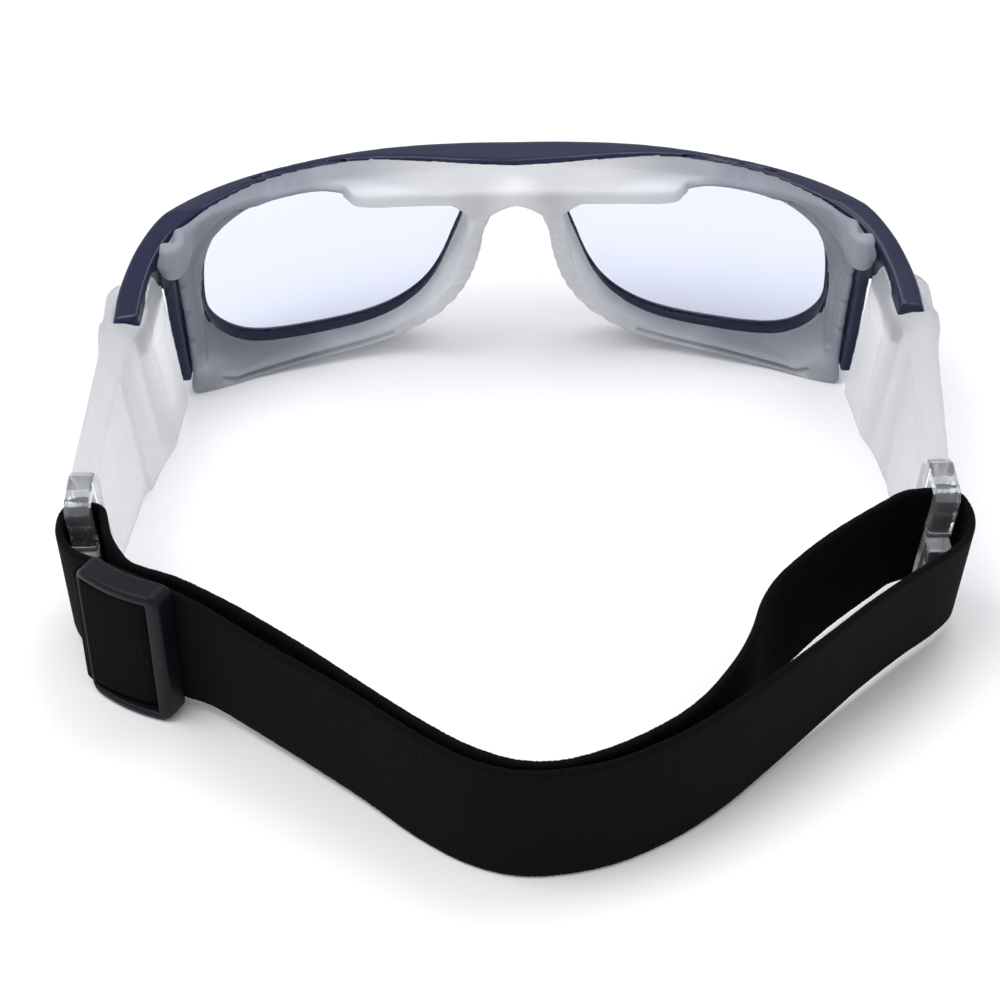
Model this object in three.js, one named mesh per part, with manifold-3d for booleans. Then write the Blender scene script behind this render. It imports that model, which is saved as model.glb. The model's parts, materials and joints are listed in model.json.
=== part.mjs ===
// Sports protective goggles: a navy wrap frame with two clear lenses, a soft silicone face gasket with
// nose pads, silicone temples on the frame's arms, clear strap clips and an elastic strap with a slider.
// Millimetres. +X is the wearer's right-hand side seen from behind, +Y is the way the wearer looks, +Z is
// up. The goggles stand on z = 0, and the origin is the middle of their footprint.
import * as THREE from "three";
import { mergeVertices } from "three/addons/utils/BufferGeometryUtils.js";
import Module from "manifold-3d";

const wasm = await Module();
wasm.setup();

// Driving dimensions
const GAP = 0.3; // clearance between separate pieces
const GASKET_FLANGE_Z = 41.2; // above this the gasket laps over the rims to the brow bar
const WRAP_RADIUS = 200; // plan radius of the lenses and the rims
const LENS_FRONT_Y = 20; // middle of the lens surface on the centre line
const LENS_THICKNESS = 2.2;
const LENS_LIP = 1.2; // how far the rim's front lip overlaps the lens edge
const RIM_FRONT = 3.4; // rim face ahead of the lens surface
const RIM_REAR = 2.4; // rim back behind the lens surface
const BROW_TOP_Z = 44; // top of the brow bar on the centre line
const ARM_HEIGHT = 9;
const SLEEVE_FRONT_Y = -2.6; // front edge of the silicone temple
const HINGE_Y = -20.6; // where the silicone temple flexes
const SLAB_THICKNESS = 5;
const SLAB_REAR_Y = -56;
const SLAB_TOP_Z = 32;
const SLEEVE_LEAN = 3; // how far the temple's foot stands inside its top edge at its front
const SLAB_LEAN = 4; // the same at the hinge
const CLIP_LEAN = 1; // the same at its rear end
const POST_LEAN = 0.055; // slope of the frame's upright posts
const CLIP_THICKNESS = 4.4;
const STRAP_WIDTH = 25;
const STRAP_THICKNESS = 1.4;
const STRAP_LIFT = 2.1; // strap's lower edge above the table at the clips and the slider
const SLOT_LOW = 1.8; // lower and upper ends of the slots that the strap goes through
const SLOT_HIGH = 27.5;
const SLIDER_HEIGHT = 29.4;
const SLIDER_HALF_LENGTH = 8.6;
const SLIDER_THICKNESS = 3;
const SLIDER_BAR = 2.4; // width of the middle bar
const SLIDER_EDGE = 1.8; // width of the frame beside each window
const CUTTER = { rear: -30, front: 40, halfWidth: 90, low: -5, high: 60 }; // beyond the whole front
const SLIDER_PLACE = { x: -68.8, y: -86, turn: -0.54 };

const NAVY = new THREE.MeshStandardMaterial({ color: 0x1b2346, roughness: 0.22, metalness: 0 });
const CLEAR_LENS = new THREE.MeshStandardMaterial({ color: 0xe6ebfb, roughness: 0.05, metalness: 0 });
const FROSTED_SILICONE = new THREE.MeshStandardMaterial({ color: 0xd8d9e4, roughness: 0.5, metalness: 0 });
const CLEAR_PLASTIC = new THREE.MeshStandardMaterial({ color: 0xdfe2ea, roughness: 0.1, metalness: 0 });
const BLACK_ELASTIC = new THREE.MeshStandardMaterial({ color: 0x0b0b0d, roughness: 0.95, metalness: 0 });
const DARK_PLASTIC = new THREE.MeshStandardMaterial({ color: 0x1d1f29, roughness: 0.35, metalness: 0 });

// Helpers ---------------------------------------------------------------------------------------------

function toSolid(geometry) {
  const bare = geometry.clone();
  bare.deleteAttribute("normal");
  bare.deleteAttribute("uv");
  const merged = mergeVertices(bare, 1e-4);
  return new wasm.Manifold(
    new wasm.Mesh({
      numProp: 3,
      vertProperties: new Float32Array(merged.attributes.position.array),
      triVerts: new Uint32Array(merged.index.array),
    }),
  );
}

function toGeometry(solid) {
  const mesh = solid.getMesh();
  const geometry = new THREE.BufferGeometry();
  geometry.setAttribute("position", new THREE.BufferAttribute(new Float32Array(mesh.vertProperties), 3));
  geometry.setIndex(new THREE.BufferAttribute(new Uint32Array(mesh.triVerts), 1));
  return geometry;
}

// Moves every vertex of a geometry: change(v) edits the vector in place.
function reshape(geometry, change) {
  const position = geometry.attributes.position;
  const v = new THREE.Vector3();
  for (let i = 0; i < position.count; i += 1) {
    v.fromBufferAttribute(position, i);
    change(v);
    position.setXYZ(i, v.x, v.y, v.z);
  }
  return geometry;
}

// Mirrors a geometry in the goggles' centre plane and turns its faces out again.
function mirrored(geometry) {
  const copy = geometry.clone();
  reshape(copy, (v) => {
    v.x = -v.x;
  });
  const index = copy.index ?? new THREE.BufferAttribute(
    Uint32Array.from({ length: copy.attributes.position.count }, (_, i) => i),
    1,
  );
  const flipped = new Uint32Array(index.array);
  for (let i = 0; i < flipped.length; i += 3) {
    [flipped[i], flipped[i + 1]] = [flipped[i + 1], flipped[i]];
  }
  copy.setIndex(new THREE.BufferAttribute(flipped, 1));
  return copy;
}

// Piecewise straight profile through [at, value] pairs.
function profile(pairs, at) {
  const last = pairs.length - 1;
  if (at <= pairs[0][0]) return pairs[0][1];
  if (at >= pairs[last][0]) return pairs[last][1];
  const k = pairs.findIndex((pair) => pair[0] >= at);
  const [[a, va], [b, vb]] = [pairs[k - 1], pairs[k]];
  return va + ((vb - va) * (at - a)) / (b - a);
}

function smoothLoop(points, count) {
  const curve = new THREE.CatmullRomCurve3(
    points.map(([x, y]) => new THREE.Vector3(x, y, 0)),
    true,
    "centripetal",
  );
  return curve.getSpacedPoints(count).slice(0, -1).map((p) => new THREE.Vector2(p.x, p.y));
}

function smoothLine(points, count) {
  const curve = new THREE.CatmullRomCurve3(
    points.map(([x, y]) => new THREE.Vector3(x, y, 0)),
    false,
    "centripetal",
  );
  return curve.getSpacedPoints(count).map((p) => new THREE.Vector2(p.x, p.y));
}

// Rectangle with round corners, anticlockwise.
function roundedRectangle(left, right, low, high, radius) {
  const steps = 4;
  const corners = [
    [right - radius, low + radius, -Math.PI / 2], [right - radius, high - radius, 0],
    [left + radius, high - radius, Math.PI / 2], [left + radius, low + radius, Math.PI],
  ];
  return corners.flatMap(([x, y, start]) => Array.from({ length: steps + 1 }, (_, i) => {
    const angle = start + (Math.PI / 2) * (i / steps);
    return new THREE.Vector2(x + radius * Math.cos(angle), y + radius * Math.sin(angle));
  }));
}

// Outline moved outwards by a distance (inwards when it is negative). The outline runs anticlockwise.
function grown(outline, distance) {
  return outline.map((p, i) => {
    const before = outline[(i + outline.length - 1) % outline.length];
    const after = outline[(i + 1) % outline.length];
    const along = after.clone().sub(before).normalize();
    return new THREE.Vector2(p.x + along.y * distance, p.y - along.x * distance);
  });
}

function counterClockwise(outline) {
  return THREE.ShapeUtils.area(outline) > 0 ? outline : [...outline].reverse();
}

// A plan outline (x, y) raised from z = low to z = high.
function standing(outline, low, high) {
  const shape = new THREE.Shape(outline);
  const geometry = new THREE.ExtrudeGeometry(shape, { depth: high - low, bevelEnabled: false });
  return geometry.translate(0, 0, low);
}

// A front-view outline (x, z) with holes, running from y = rear to y = front.
function facing(outline, holes, rear, front) {
  const shape = new THREE.Shape(outline);
  shape.holes = holes.map((hole) => new THREE.Path(hole));
  const geometry = new THREE.ExtrudeGeometry(shape, { depth: front - rear, bevelEnabled: false });
  return geometry.rotateX(Math.PI / 2).translate(0, front, 0);
}

// A plan ribbon of even thickness along a line of points.
function ribbonOutline(line, thickness) {
  const left = [];
  const right = [];
  line.forEach((p, i) => {
    const before = line[Math.max(i - 1, 0)];
    const after = line[Math.min(i + 1, line.length - 1)];
    const along = after.clone().sub(before).normalize().multiplyScalar(thickness / 2);
    left.push(new THREE.Vector2(p.x - along.y, p.y + along.x));
    right.push(new THREE.Vector2(p.x + along.y, p.y - along.x));
  });
  return counterClockwise([...left, ...right.reverse()]);
}

function named(name, geometry, material) {
  const mesh = new THREE.Mesh(geometry, material);
  mesh.name = name;
  return mesh;
}

// Front frame and lenses ------------------------------------------------------------------------------

const lensY = (x) => LENS_FRONT_Y - (x * x) / (2 * WRAP_RADIUS);

// Edge of a lens in front view, on the +X side.
const LENS_EDGE = counterClockwise(
  smoothLoop(
    [
      [10, 35.5], [24, 39], [40, 40.4], [52, 38.4], [60.4, 32], [63.2, 22],
      [62.4, 11.5], [55.5, 5], [40, 4], [26.5, 6.8], [18, 13], [12.4, 24],
    ],
    56,
  ),
);

function otherSide(outline) {
  return counterClockwise(outline.map((p) => new THREE.Vector2(-p.x, p.y)));
}

// Both sides of a symmetric outline from its +X half, which runs from the top centre to the bottom centre.
function bothSides(half) {
  const left = half.map((p) => new THREE.Vector2(-p.x, p.y)).reverse();
  return counterClockwise([...half, ...left]);
}

// Plan band that follows the wrap between two distances from the lens surface, raised over the height.
function wrapBand(rear, front) {
  const steps = 40;
  const xs = Array.from({ length: steps + 1 }, (_, i) => CUTTER.halfWidth * ((2 * i) / steps - 1));
  const back = xs.map((x) => new THREE.Vector2(x, lensY(x) + rear));
  const face = xs.map((x) => new THREE.Vector2(x, lensY(x) + front)).reverse();
  return toSolid(standing(counterClockwise([...back, ...face]), CUTTER.low, CUTTER.high));
}

const browTop = (x, y) => BROW_TOP_Z - 5 * (x / 68) ** 2 - 0.22 * Math.max(0, 8 - y);

// Brow bar and the two arms that sweep back from it, as one plan outline.
function browAndArms(clearance) {
  const outer = smoothLine(
    [
      [0, 24.5], [14, 24.6], [28, 23.8], [43, 21], [56, 16.8], [64, 12.4],
      [70, 7.2], [73.6, 1], [75.6, -5], [76.8, -11], [77.2, -17.6],
    ],
    34,
  );
  const inner = smoothLine(
    [
      [72.3, -17.6], [71.3, -9], [69.6, -2.6], [67, 2.6], [61, 8.2], [51, 15], [41, 18.6], [31, 20.2],
      [20, 19.4], [10, 17.8], [0, 16.8],
    ],
    32,
  );
  const outline = grown(bothSides([...outer, ...inner.slice(0, -1)]), clearance);
  const geometry = standing(outline, 0, 1);
  reshape(geometry, (v) => {
    const top = browTop(v.x, v.y) + clearance;
    const height = profile([[0, 6], [30, 5], [66, ARM_HEIGHT]], Math.abs(v.x));
    v.z = v.z > 0.5 ? top : top - height - 2 * clearance;
  });
  return toSolid(geometry);
}

// Rims and nose bridge: everything between the brow bar and the lenses' lower edges.
function rims(clearance) {
  const half = [
    [0, 42.5], [30, 41.8], [45, 40.6], [57, 38], [64, 34.5], [66.8, 28], [66.6, 12], [64.5, 4.5],
    [57, 1.6], [40, 1.2], [28, 3], [18.5, 8], [13, 15], [9.2, 24], [6.6, 32], [3.6, 36.2], [0, 37.4],
  ].map(([x, z]) => new THREE.Vector2(x, z));
  return toSolid(facing(grown(bothSides(half), clearance), [], CUTTER.rear, CUTTER.front)).intersect(
    wrapBand(-RIM_REAR - clearance, RIM_FRONT + clearance),
  );
}

// Both lens openings, with a seat behind the front lip that each lens is laid into from the back.
function lensSeats() {
  const through = (outline) => toSolid(facing(outline, [], CUTTER.rear, CUTTER.front));
  const window = grown(LENS_EDGE, -LENS_LIP);
  const seat = grown(LENS_EDGE, GAP);
  const behind = wrapBand(CUTTER.rear, LENS_THICKNESS / 2 + GAP);
  return [
    through(window), through(otherSide(window)),
    through(seat).intersect(behind), through(otherSide(seat)).intersect(behind),
  ].reduce((all, cutter) => all.add(cutter));
}

// Side wall that carries the rim back beside the gasket, ending in an upright post that leans outwards.
function sideWall(clearance) {
  const outline = counterClockwise(
    [
      [62.5, 13.6], [66.5, 9.6], [69.4, 4.5], [69.8, -1.2], [67.4, -1.2], [67.2, 4], [65.2, 7], [62.5, 8.4],
    ].map(([x, y]) => new THREE.Vector2(x, y)),
  );
  const [low, high] = [4, 33];
  const wall = reshape(standing(grown(outline, clearance), low - clearance, high + clearance), (v) => {
    v.x -= v.y < 6 ? (high - v.z) * POST_LEAN : 0;
  });
  return toSolid(wall).add(toSolid(mirrored(wall)));
}

function frontFrame() {
  const whole = rims(0).add(browAndArms(0)).add(sideWall(0));
  return toGeometry(whole.subtract(lensSeats()));
}

function lens() {
  return toGeometry(toSolid(facing(LENS_EDGE, [], CUTTER.rear, CUTTER.front)).intersect(
    wrapBand(-LENS_THICKNESS / 2, LENS_THICKNESS / 2),
  ));
}

// Face gasket -----------------------------------------------------------------------------------------

// Rear surface of the gasket, where it meets the face: along the brow, and along the cheeks.
const BROW_REAR = [[0, 6.6], [28, 6.8], [36, 11.9], [46, 10.6], [55, 8.2], [62, 4.6], [66, 0.6]];
const CHEEK_REAR = [[0, 8], [16, 8.4], [22, 11], [32, 10.6], [42, 8], [52, 5], [60, 1.6], [66, -1]];

function gasketRear(x, z) {
  const height = THREE.MathUtils.smoothstep(z, 4, 38);
  return THREE.MathUtils.lerp(profile(CHEEK_REAR, Math.abs(x)), profile(BROW_REAR, Math.abs(x)), height);
}

// Small tab at the gasket's upper outer corner, which hooks round the frame's post.
function gasketTab() {
  const outline = counterClockwise(
    [[60, 3], [66, 3], [66, -1.6], [69, -1.6], [69, -4.2], [67.6, -5.4], [65.2, -5], [62.6, -2]].map(
      ([x, y]) => new THREE.Vector2(x, y),
    ),
  );
  return standing(outline, 29, 37);
}

function faceGasket() {
  const half = [
    [0, 43.2], [20, 43.1], [34, 42.5], [46, 41.4], [57, 39.8], [63, 38.4], [66.6, 34], [66.2, 18],
    [65.6, 6], [65.6, 0], [54, 0], [42, 1.4], [31, 2.8], [22.5, 6], [17.2, 11.4], [13.6, 15.2],
    [10.6, 19.6], [8.4, 24.6], [7.1, 29.6], [6.3, 34], [4.2, 37.8], [0, 39.6],
  ].map(([x, z]) => new THREE.Vector2(x, z));
  const opening = grown(LENS_EDGE, 0.4);
  const body = facing(bothSides(half), [opening, otherSide(opening)], 0, 1);
  reshape(body, (v) => {
    v.y = v.y > 0.5 ? lensY(v.x) : gasketRear(v.x, v.z);
  });
  const size = 4 * CUTTER.high;
  const belowFlange = new THREE.BoxGeometry(size, size, size).translate(0, 0, GASKET_FLANGE_Z - size / 2);
  return toGeometry(
    toSolid(body)
      .subtract(wrapBand(-RIM_REAR - GAP, CUTTER.front).intersect(toSolid(belowFlange)))
      .subtract(rims(GAP))
      .add(toSolid(gasketTab()))
      .add(toSolid(mirrored(gasketTab())))
      .subtract(browAndArms(GAP))
      .subtract(sideWall(GAP)),
  );
}

// Silicone temples ------------------------------------------------------------------------------------

const templeTop = (y) => profile([[SLAB_REAR_Y, 28.4], [HINGE_Y, 30.6], [-8, 31.6], [0, 29]], y);
const templeFoot = (y) => profile([[SLAB_REAR_Y, 2], [HINGE_Y, 0.6], [-8, 0]], y);
const leanAt = (y) => (
  y > HINGE_Y - 1
    ? profile([[HINGE_Y + SLAB_THICKNESS / 2, SLAB_LEAN], [SLEEVE_FRONT_Y, SLEEVE_LEAN]], y)
    : profile([[SLAB_REAR_Y, CLIP_LEAN], [HINGE_Y, SLAB_LEAN]], y)
);

// Stands a temple's plan outline up: its top edge is at the outline, and its foot leans inwards.
function templeSolid(outline) {
  return toSolid(
    reshape(standing(outline, 0, 1), (v) => {
      v.z = v.z > 0.5 ? templeTop(v.y) : templeFoot(v.y);
      v.x -= leanAt(v.y) * (1 - v.z / SLAB_TOP_Z);
    }),
  );
}

// Front part of the temple: a sleeve that holds the frame's arm in a groove open at the top.
function templeSleeve() {
  const rear = HINGE_Y + SLAB_THICKNESS / 2 + GAP;
  const outline = counterClockwise(
    [
      [69.5, SLEEVE_FRONT_Y - 1], [70.6, SLEEVE_FRONT_Y], [76.4, SLEEVE_FRONT_Y],
      [78.4, SLEEVE_FRONT_Y - 1.6], [79.6, SLEEVE_FRONT_Y - 6], [79.6, rear],
      [71.2, rear], [70.2, -9],
    ].map(([x, y]) => new THREE.Vector2(x, y)),
  );
  return toGeometry(templeSolid(outline).subtract(browAndArms(GAP)));
}

// Where a temple's middle line is in plan, from the hinge back to the clip. drift is how far the clip
// stands inside (or outside, when negative) the hinge.
const templeMiddle = (y, drift) => 77 - (drift * (HINGE_Y - y)) / (HINGE_Y - SLAB_REAR_Y);

// Rear part of the temple: a tall soft slab with a round front end and a pocket for the clip's tongue.
function templeSlab(drift) {
  const half = SLAB_THICKNESS / 2;
  const steps = 8;
  const hinge = new THREE.Vector2(templeMiddle(HINGE_Y, 0), HINGE_Y);
  const round = Array.from({ length: steps + 1 }, (_, i) => {
    const angle = (Math.PI * i) / steps;
    return new THREE.Vector2(half * Math.cos(angle), half * Math.sin(angle)).add(hinge);
  });
  const rear = templeMiddle(SLAB_REAR_Y, drift);
  const outline = counterClockwise([
    ...round,
    new THREE.Vector2(rear - half, SLAB_REAR_Y),
    new THREE.Vector2(rear + half, SLAB_REAR_Y),
  ]);
  return toGeometry(templeSolid(outline).subtract(toSolid(clipTongue(drift, GAP))));
}

// Strap clips -----------------------------------------------------------------------------------------

const CLIP_TONGUE = { length: 7, thickness: 2, low: 8, high: 23 };

function clipTongue(drift, clearance) {
  const { length, thickness, low, high } = CLIP_TONGUE;
  const tongue = new THREE.BoxGeometry(
    thickness + 2 * clearance,
    length + 2 + clearance,
    high - low + 2 * clearance,
  );
  tongue.translate(
    templeMiddle(SLAB_REAR_Y, drift) - CLIP_LEAN / 2,
    SLAB_REAR_Y + (length - 2 + clearance) / 2,
    (low + high) / 2,
  );
  return tongue;
}

// Clear clip: an upper and a lower prong that hook round the strap, with a slit between their tips.
function strapClip(drift) {
  const front = SLAB_REAR_Y - GAP;
  const side = [
    [0, 1], [0, 29], [-2, 30], [-9, 30], [-11.3, 28.4], [-11.3, 18.5], [-8.2, 18.5],
    [-8.2, SLOT_HIGH], [-4.4, SLOT_HIGH], [-4.4, SLOT_LOW], [-8.2, SLOT_LOW], [-8.2, 18],
    [-14.2, 18], [-14.2, 12], [-13.2, 8.6], [-12.4, 4], [-10, 0.2], [-2, 0.2],
  ].map(([y, z]) => new THREE.Vector2(front + y, z));
  const plate = new THREE.ExtrudeGeometry(new THREE.Shape(side), {
    depth: CLIP_THICKNESS,
    bevelEnabled: false,
  });
  plate.rotateX(Math.PI / 2).rotateZ(Math.PI / 2);
  plate.translate(templeMiddle(SLAB_REAR_Y, drift) - CLIP_LEAN / 2 - CLIP_THICKNESS / 2, 0, 0);
  return toGeometry(toSolid(plate).add(toSolid(clipTongue(drift, 0))));
}

// Strap and slider ------------------------------------------------------------------------------------

// The strap's lower edge lies on the table in front and is held clear of it by the clips and the slider.
const strapLift = (y) => profile([[-120, 0], [-92, STRAP_LIFT]], y);

// A length of strap standing on edge along plan points.
function strapRun(points, count) {
  const outline = ribbonOutline(smoothLine(points, count), STRAP_THICKNESS);
  return reshape(standing(outline, 0, STRAP_WIDTH), (v) => {
    v.z += strapLift(v.y);
  });
}

// Plan point at a distance along the slider and a distance out of its outer face.
function atSlider(along, out) {
  const { x, y, turn } = SLIDER_PLACE;
  return [
    x + along * Math.cos(turn) + out * Math.sin(turn),
    y + along * Math.sin(turn) - out * Math.cos(turn),
  ];
}

// Slider plate with two windows and a bar between them, which the strap is threaded over.
function slider() {
  const half = SLIDER_HALF_LENGTH;
  const inner = SLIDER_BAR / 2;
  const outer = half - SLIDER_EDGE;
  const outline = roundedRectangle(-half, half, 0, SLIDER_HEIGHT, 2);
  const windows = [
    roundedRectangle(inner, outer, SLOT_LOW, SLOT_HIGH, 0.5),
    roundedRectangle(-outer, -inner, SLOT_LOW, SLOT_HIGH, 0.5),
  ];
  return facing(outline, windows, -SLIDER_THICKNESS / 2, SLIDER_THICKNESS / 2)
    .rotateZ(SLIDER_PLACE.turn)
    .translate(SLIDER_PLACE.x, SLIDER_PLACE.y, 0);
}

// From beyond the slider, over its bar, round the left clip's bar and back to the slider's inner side.
const LEFT_LOOP = [
  atSlider(12.8, -2.8), atSlider(8.6, -2.8), atSlider(6.2, -2.4), atSlider(4, 0), atSlider(1.8, 2.4),
  atSlider(0, 2.8), atSlider(-1.8, 2.4), atSlider(-4, 0), atSlider(-6.2, -2.4), atSlider(-8.6, -3),
  [-79, -76], [-81.9, -71.6], [-82.4, -67.6], [-81.7, -64.2], [-79.6, -62.6], [-76.6, -62.6],
  [-74.9, -63.8], [-74.1, -67.4], [-73, -71.6], [-71, -76.4], [-68.6, -80],
];
// The outer run, from the slider to the right clip.
const OUTER_RUN = [
  atSlider(13.2, -2.8), [-47, -97.4], [-38, -104.3], [-29, -111.4], [-19.6, -119.5], [-11.8, -125],
  [-4.5, -127.7], [3, -127.8], [12, -125.2], [21, -120.3], [30, -113.4], [39, -105.6], [49, -96.7],
  [58, -89], [66, -82.6],
];
// Round the right clip's bar.
const RIGHT_LOOP = [
  [66.3, -82.3], [72, -78.4], [76.4, -74.4], [78.2, -70], [77.9, -66], [76.2, -63.4], [73.6, -62.6],
  [70, -62.6], [66.4, -63.6], [63.2, -66],
];
// The inner run, from the right clip back to the slider.
const INNER_RUN = [
  [63, -66.2], [53, -74.6], [46, -81.8], [41.6, -87], [38.8, -92.2], [36.8, -97.8], [34.4, -102.8],
  [31.4, -107.4], [27.8, -112], [23.8, -115.8], [19.5, -118.8], [11, -123.4], [3, -125.9],
  [-3.8, -125.6], [-10.5, -122.8], [-17.5, -118], [-24, -112.8], [-30.5, -107], [-38, -100.4],
  [-46, -94], [-53.5, -88.4], [-60.5, -84],
];

// Assembly --------------------------------------------------------------------------------------------

const RIGHT_DRIFT = 3.6; // the right temple stands a little inwards at its rear
const LEFT_DRIFT = -1.7; // the left one a little outwards

const lensGeometry = lens();
const sleeveGeometry = templeSleeve();
const parts = [
  named("front_frame", frontFrame(), NAVY),
  named("lens_right", lensGeometry, CLEAR_LENS),
  named("lens_left", mirrored(lensGeometry), CLEAR_LENS),
  named("face_gasket", faceGasket(), FROSTED_SILICONE),
  named("temple_sleeve_right", sleeveGeometry, FROSTED_SILICONE),
  named("temple_sleeve_left", mirrored(sleeveGeometry), FROSTED_SILICONE),
  named("temple_right", templeSlab(RIGHT_DRIFT), FROSTED_SILICONE),
  named("temple_left", mirrored(templeSlab(LEFT_DRIFT)), FROSTED_SILICONE),
  named("strap_clip_right", strapClip(RIGHT_DRIFT), CLEAR_PLASTIC),
  named("strap_clip_left", mirrored(strapClip(LEFT_DRIFT)), CLEAR_PLASTIC),
  named("strap_left_loop", strapRun(LEFT_LOOP, 72), BLACK_ELASTIC),
  named("strap_outer_run", strapRun(OUTER_RUN, 44), BLACK_ELASTIC),
  named("strap_right_loop", strapRun(RIGHT_LOOP, 30), BLACK_ELASTIC),
  named("strap_inner_run", strapRun(INNER_RUN, 44), BLACK_ELASTIC),
  named("strap_slider", slider(), DARK_PLASTIC),
];

// The origin is the middle of the footprint, on the table.
const goggles = new THREE.Group();
goggles.add(...parts);
const middle = new THREE.Box3().setFromObject(goggles).getCenter(new THREE.Vector3());
parts.forEach((part) => part.position.set(-middle.x, -middle.y, 0));

export default goggles;
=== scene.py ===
"""Sports protective goggles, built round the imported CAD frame.

Shapes are worked out in millimetres, in the goggles' own plan: x = 0 is the mirror plane, +Y is the way
the wearer looks and z = 0 is the table. Most pieces are distance fields turned into a mesh, and the strap
is a ribbon.
"""

import json
import math

import bpy
import numpy as np
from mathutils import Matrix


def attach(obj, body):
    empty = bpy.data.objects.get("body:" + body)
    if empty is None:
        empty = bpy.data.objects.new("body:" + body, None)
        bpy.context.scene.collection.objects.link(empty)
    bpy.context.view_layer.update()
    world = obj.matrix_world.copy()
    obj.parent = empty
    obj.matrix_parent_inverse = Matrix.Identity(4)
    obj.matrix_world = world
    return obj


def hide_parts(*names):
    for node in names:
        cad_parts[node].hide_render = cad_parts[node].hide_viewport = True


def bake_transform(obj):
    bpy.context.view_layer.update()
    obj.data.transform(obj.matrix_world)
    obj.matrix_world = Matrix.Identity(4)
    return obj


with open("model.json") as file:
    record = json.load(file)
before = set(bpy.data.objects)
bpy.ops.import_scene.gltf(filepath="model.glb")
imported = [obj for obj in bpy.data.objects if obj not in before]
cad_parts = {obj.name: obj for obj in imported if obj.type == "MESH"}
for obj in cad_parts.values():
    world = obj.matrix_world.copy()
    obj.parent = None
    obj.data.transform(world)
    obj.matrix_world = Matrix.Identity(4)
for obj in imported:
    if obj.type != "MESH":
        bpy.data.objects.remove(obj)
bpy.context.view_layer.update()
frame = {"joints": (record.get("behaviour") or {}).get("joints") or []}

# Places shared with the CAD part -----------------------------------------------------------------------

HINGE_Y = -20.6
SLAB_REAR_Y = -56
SLAB_TOP_Z = 32
SLAB_THICKNESS = 5
SLEEVE_FRONT_Y = -2.6
SLEEVE_LEAN = 3
SLAB_LEAN = 4
CLIP_LEAN = 1
CLIP_THICKNESS = 4.4
CLIP_SLOPE = 0.035
REAR_SLOPE = 0.16
RIGHT_DRIFT = 3.6
LEFT_DRIFT = -1.7
POST_LEAN = 0.055
LENS_FRONT_Y = 20
WRAP_RADIUS = 200
LENS_THICKNESS = 2.2
LENS_LIP = 0.75
RIM_FRONT = 3.4
RIM_REAR = 2.4
BROW_TOP_Z = 44
STRAP_WIDTH = 25
STRAP_THICKNESS = 1.4
SLIDER_PLACE = (-68.8, -86)
SLIDER_TURN = -0.54
SLIDER_HALF_LENGTH = 8.6
SLIDER_HEIGHT = 29.4
SLOT_LOW = 1.8
SLOT_HIGH = 27.5

# The pack moves the part so that its footprint is centred; the hinges say by how much
hinges = [j["pos_m"] for j in frame["joints"] if j["type"] == "hinge"]
ORIGIN = np.array([
    1000 * (hinges[0][0] + hinges[1][0]) / 2,
    1000 * hinges[0][1] - HINGE_Y,
    0,
])


def metres(points):
    """Points of the goggles' plan, in millimetres, as points of the scene."""
    return (np.asarray(points, float) + ORIGIN) / 1000


# Camera, floor and light -------------------------------------------------------------------------------


CAMERA_PLACE = (-12.6, -377.2, 298)
CAMERA_DOWN = 41
CAMERA_YAW = -1.4
SENSOR_WIDTH = 36
FOCAL_LENGTH = 84.6
NEAR_CLIP = 0.01
WORLD_COLOUR = (0.97, 0.98, 1, 1)
WORLD_STRENGTH = 0.78


def add_camera():
    data = bpy.data.cameras.new("camera")
    data.sensor_width = SENSOR_WIDTH
    data.lens = FOCAL_LENGTH
    data.clip_start = NEAR_CLIP
    camera = bpy.data.objects.new("camera", data)
    camera.location = metres(CAMERA_PLACE)
    camera.rotation_euler = (math.radians(90 - CAMERA_DOWN), 0, math.radians(CAMERA_YAW))
    bpy.context.scene.collection.objects.link(camera)
    bpy.context.scene.camera = camera


def add_light(name, place, aim, size, power):
    """A soft round lamp at a place, in metres, turned towards a point."""
    data = bpy.data.lights.new(name, "AREA")
    data.shape = "DISK"
    data.size = size
    data.energy = power
    light = bpy.data.objects.new(name, data)
    light.location = place
    direction = np.array(aim, float) - np.array(place, float)
    yaw = math.atan2(direction[0], -direction[1])
    tilt = math.atan2(math.hypot(direction[0], direction[1]), -direction[2])
    light.rotation_euler = (tilt, 0, yaw + math.pi)
    bpy.context.scene.collection.objects.link(light)


def add_studio():
    world = bpy.data.worlds.new("studio")
    world.use_nodes = True
    background = world.node_tree.nodes["Background"]
    background.inputs["Color"].default_value = WORLD_COLOUR
    background.inputs["Strength"].default_value = WORLD_STRENGTH
    bpy.context.scene.world = world
    add_light("key", place=(-0.35, -0.1, 0.8), aim=(0, 0, 0), size=0.55, power=3.4)
    add_light("top", place=(0.25, 0.3, 0.9), aim=(0, 0.03, 0.02), size=0.5, power=2.0)
    bpy.context.scene.view_settings.view_transform = "Standard"


# Shader helpers ----------------------------------------------------------------------------------------


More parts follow.
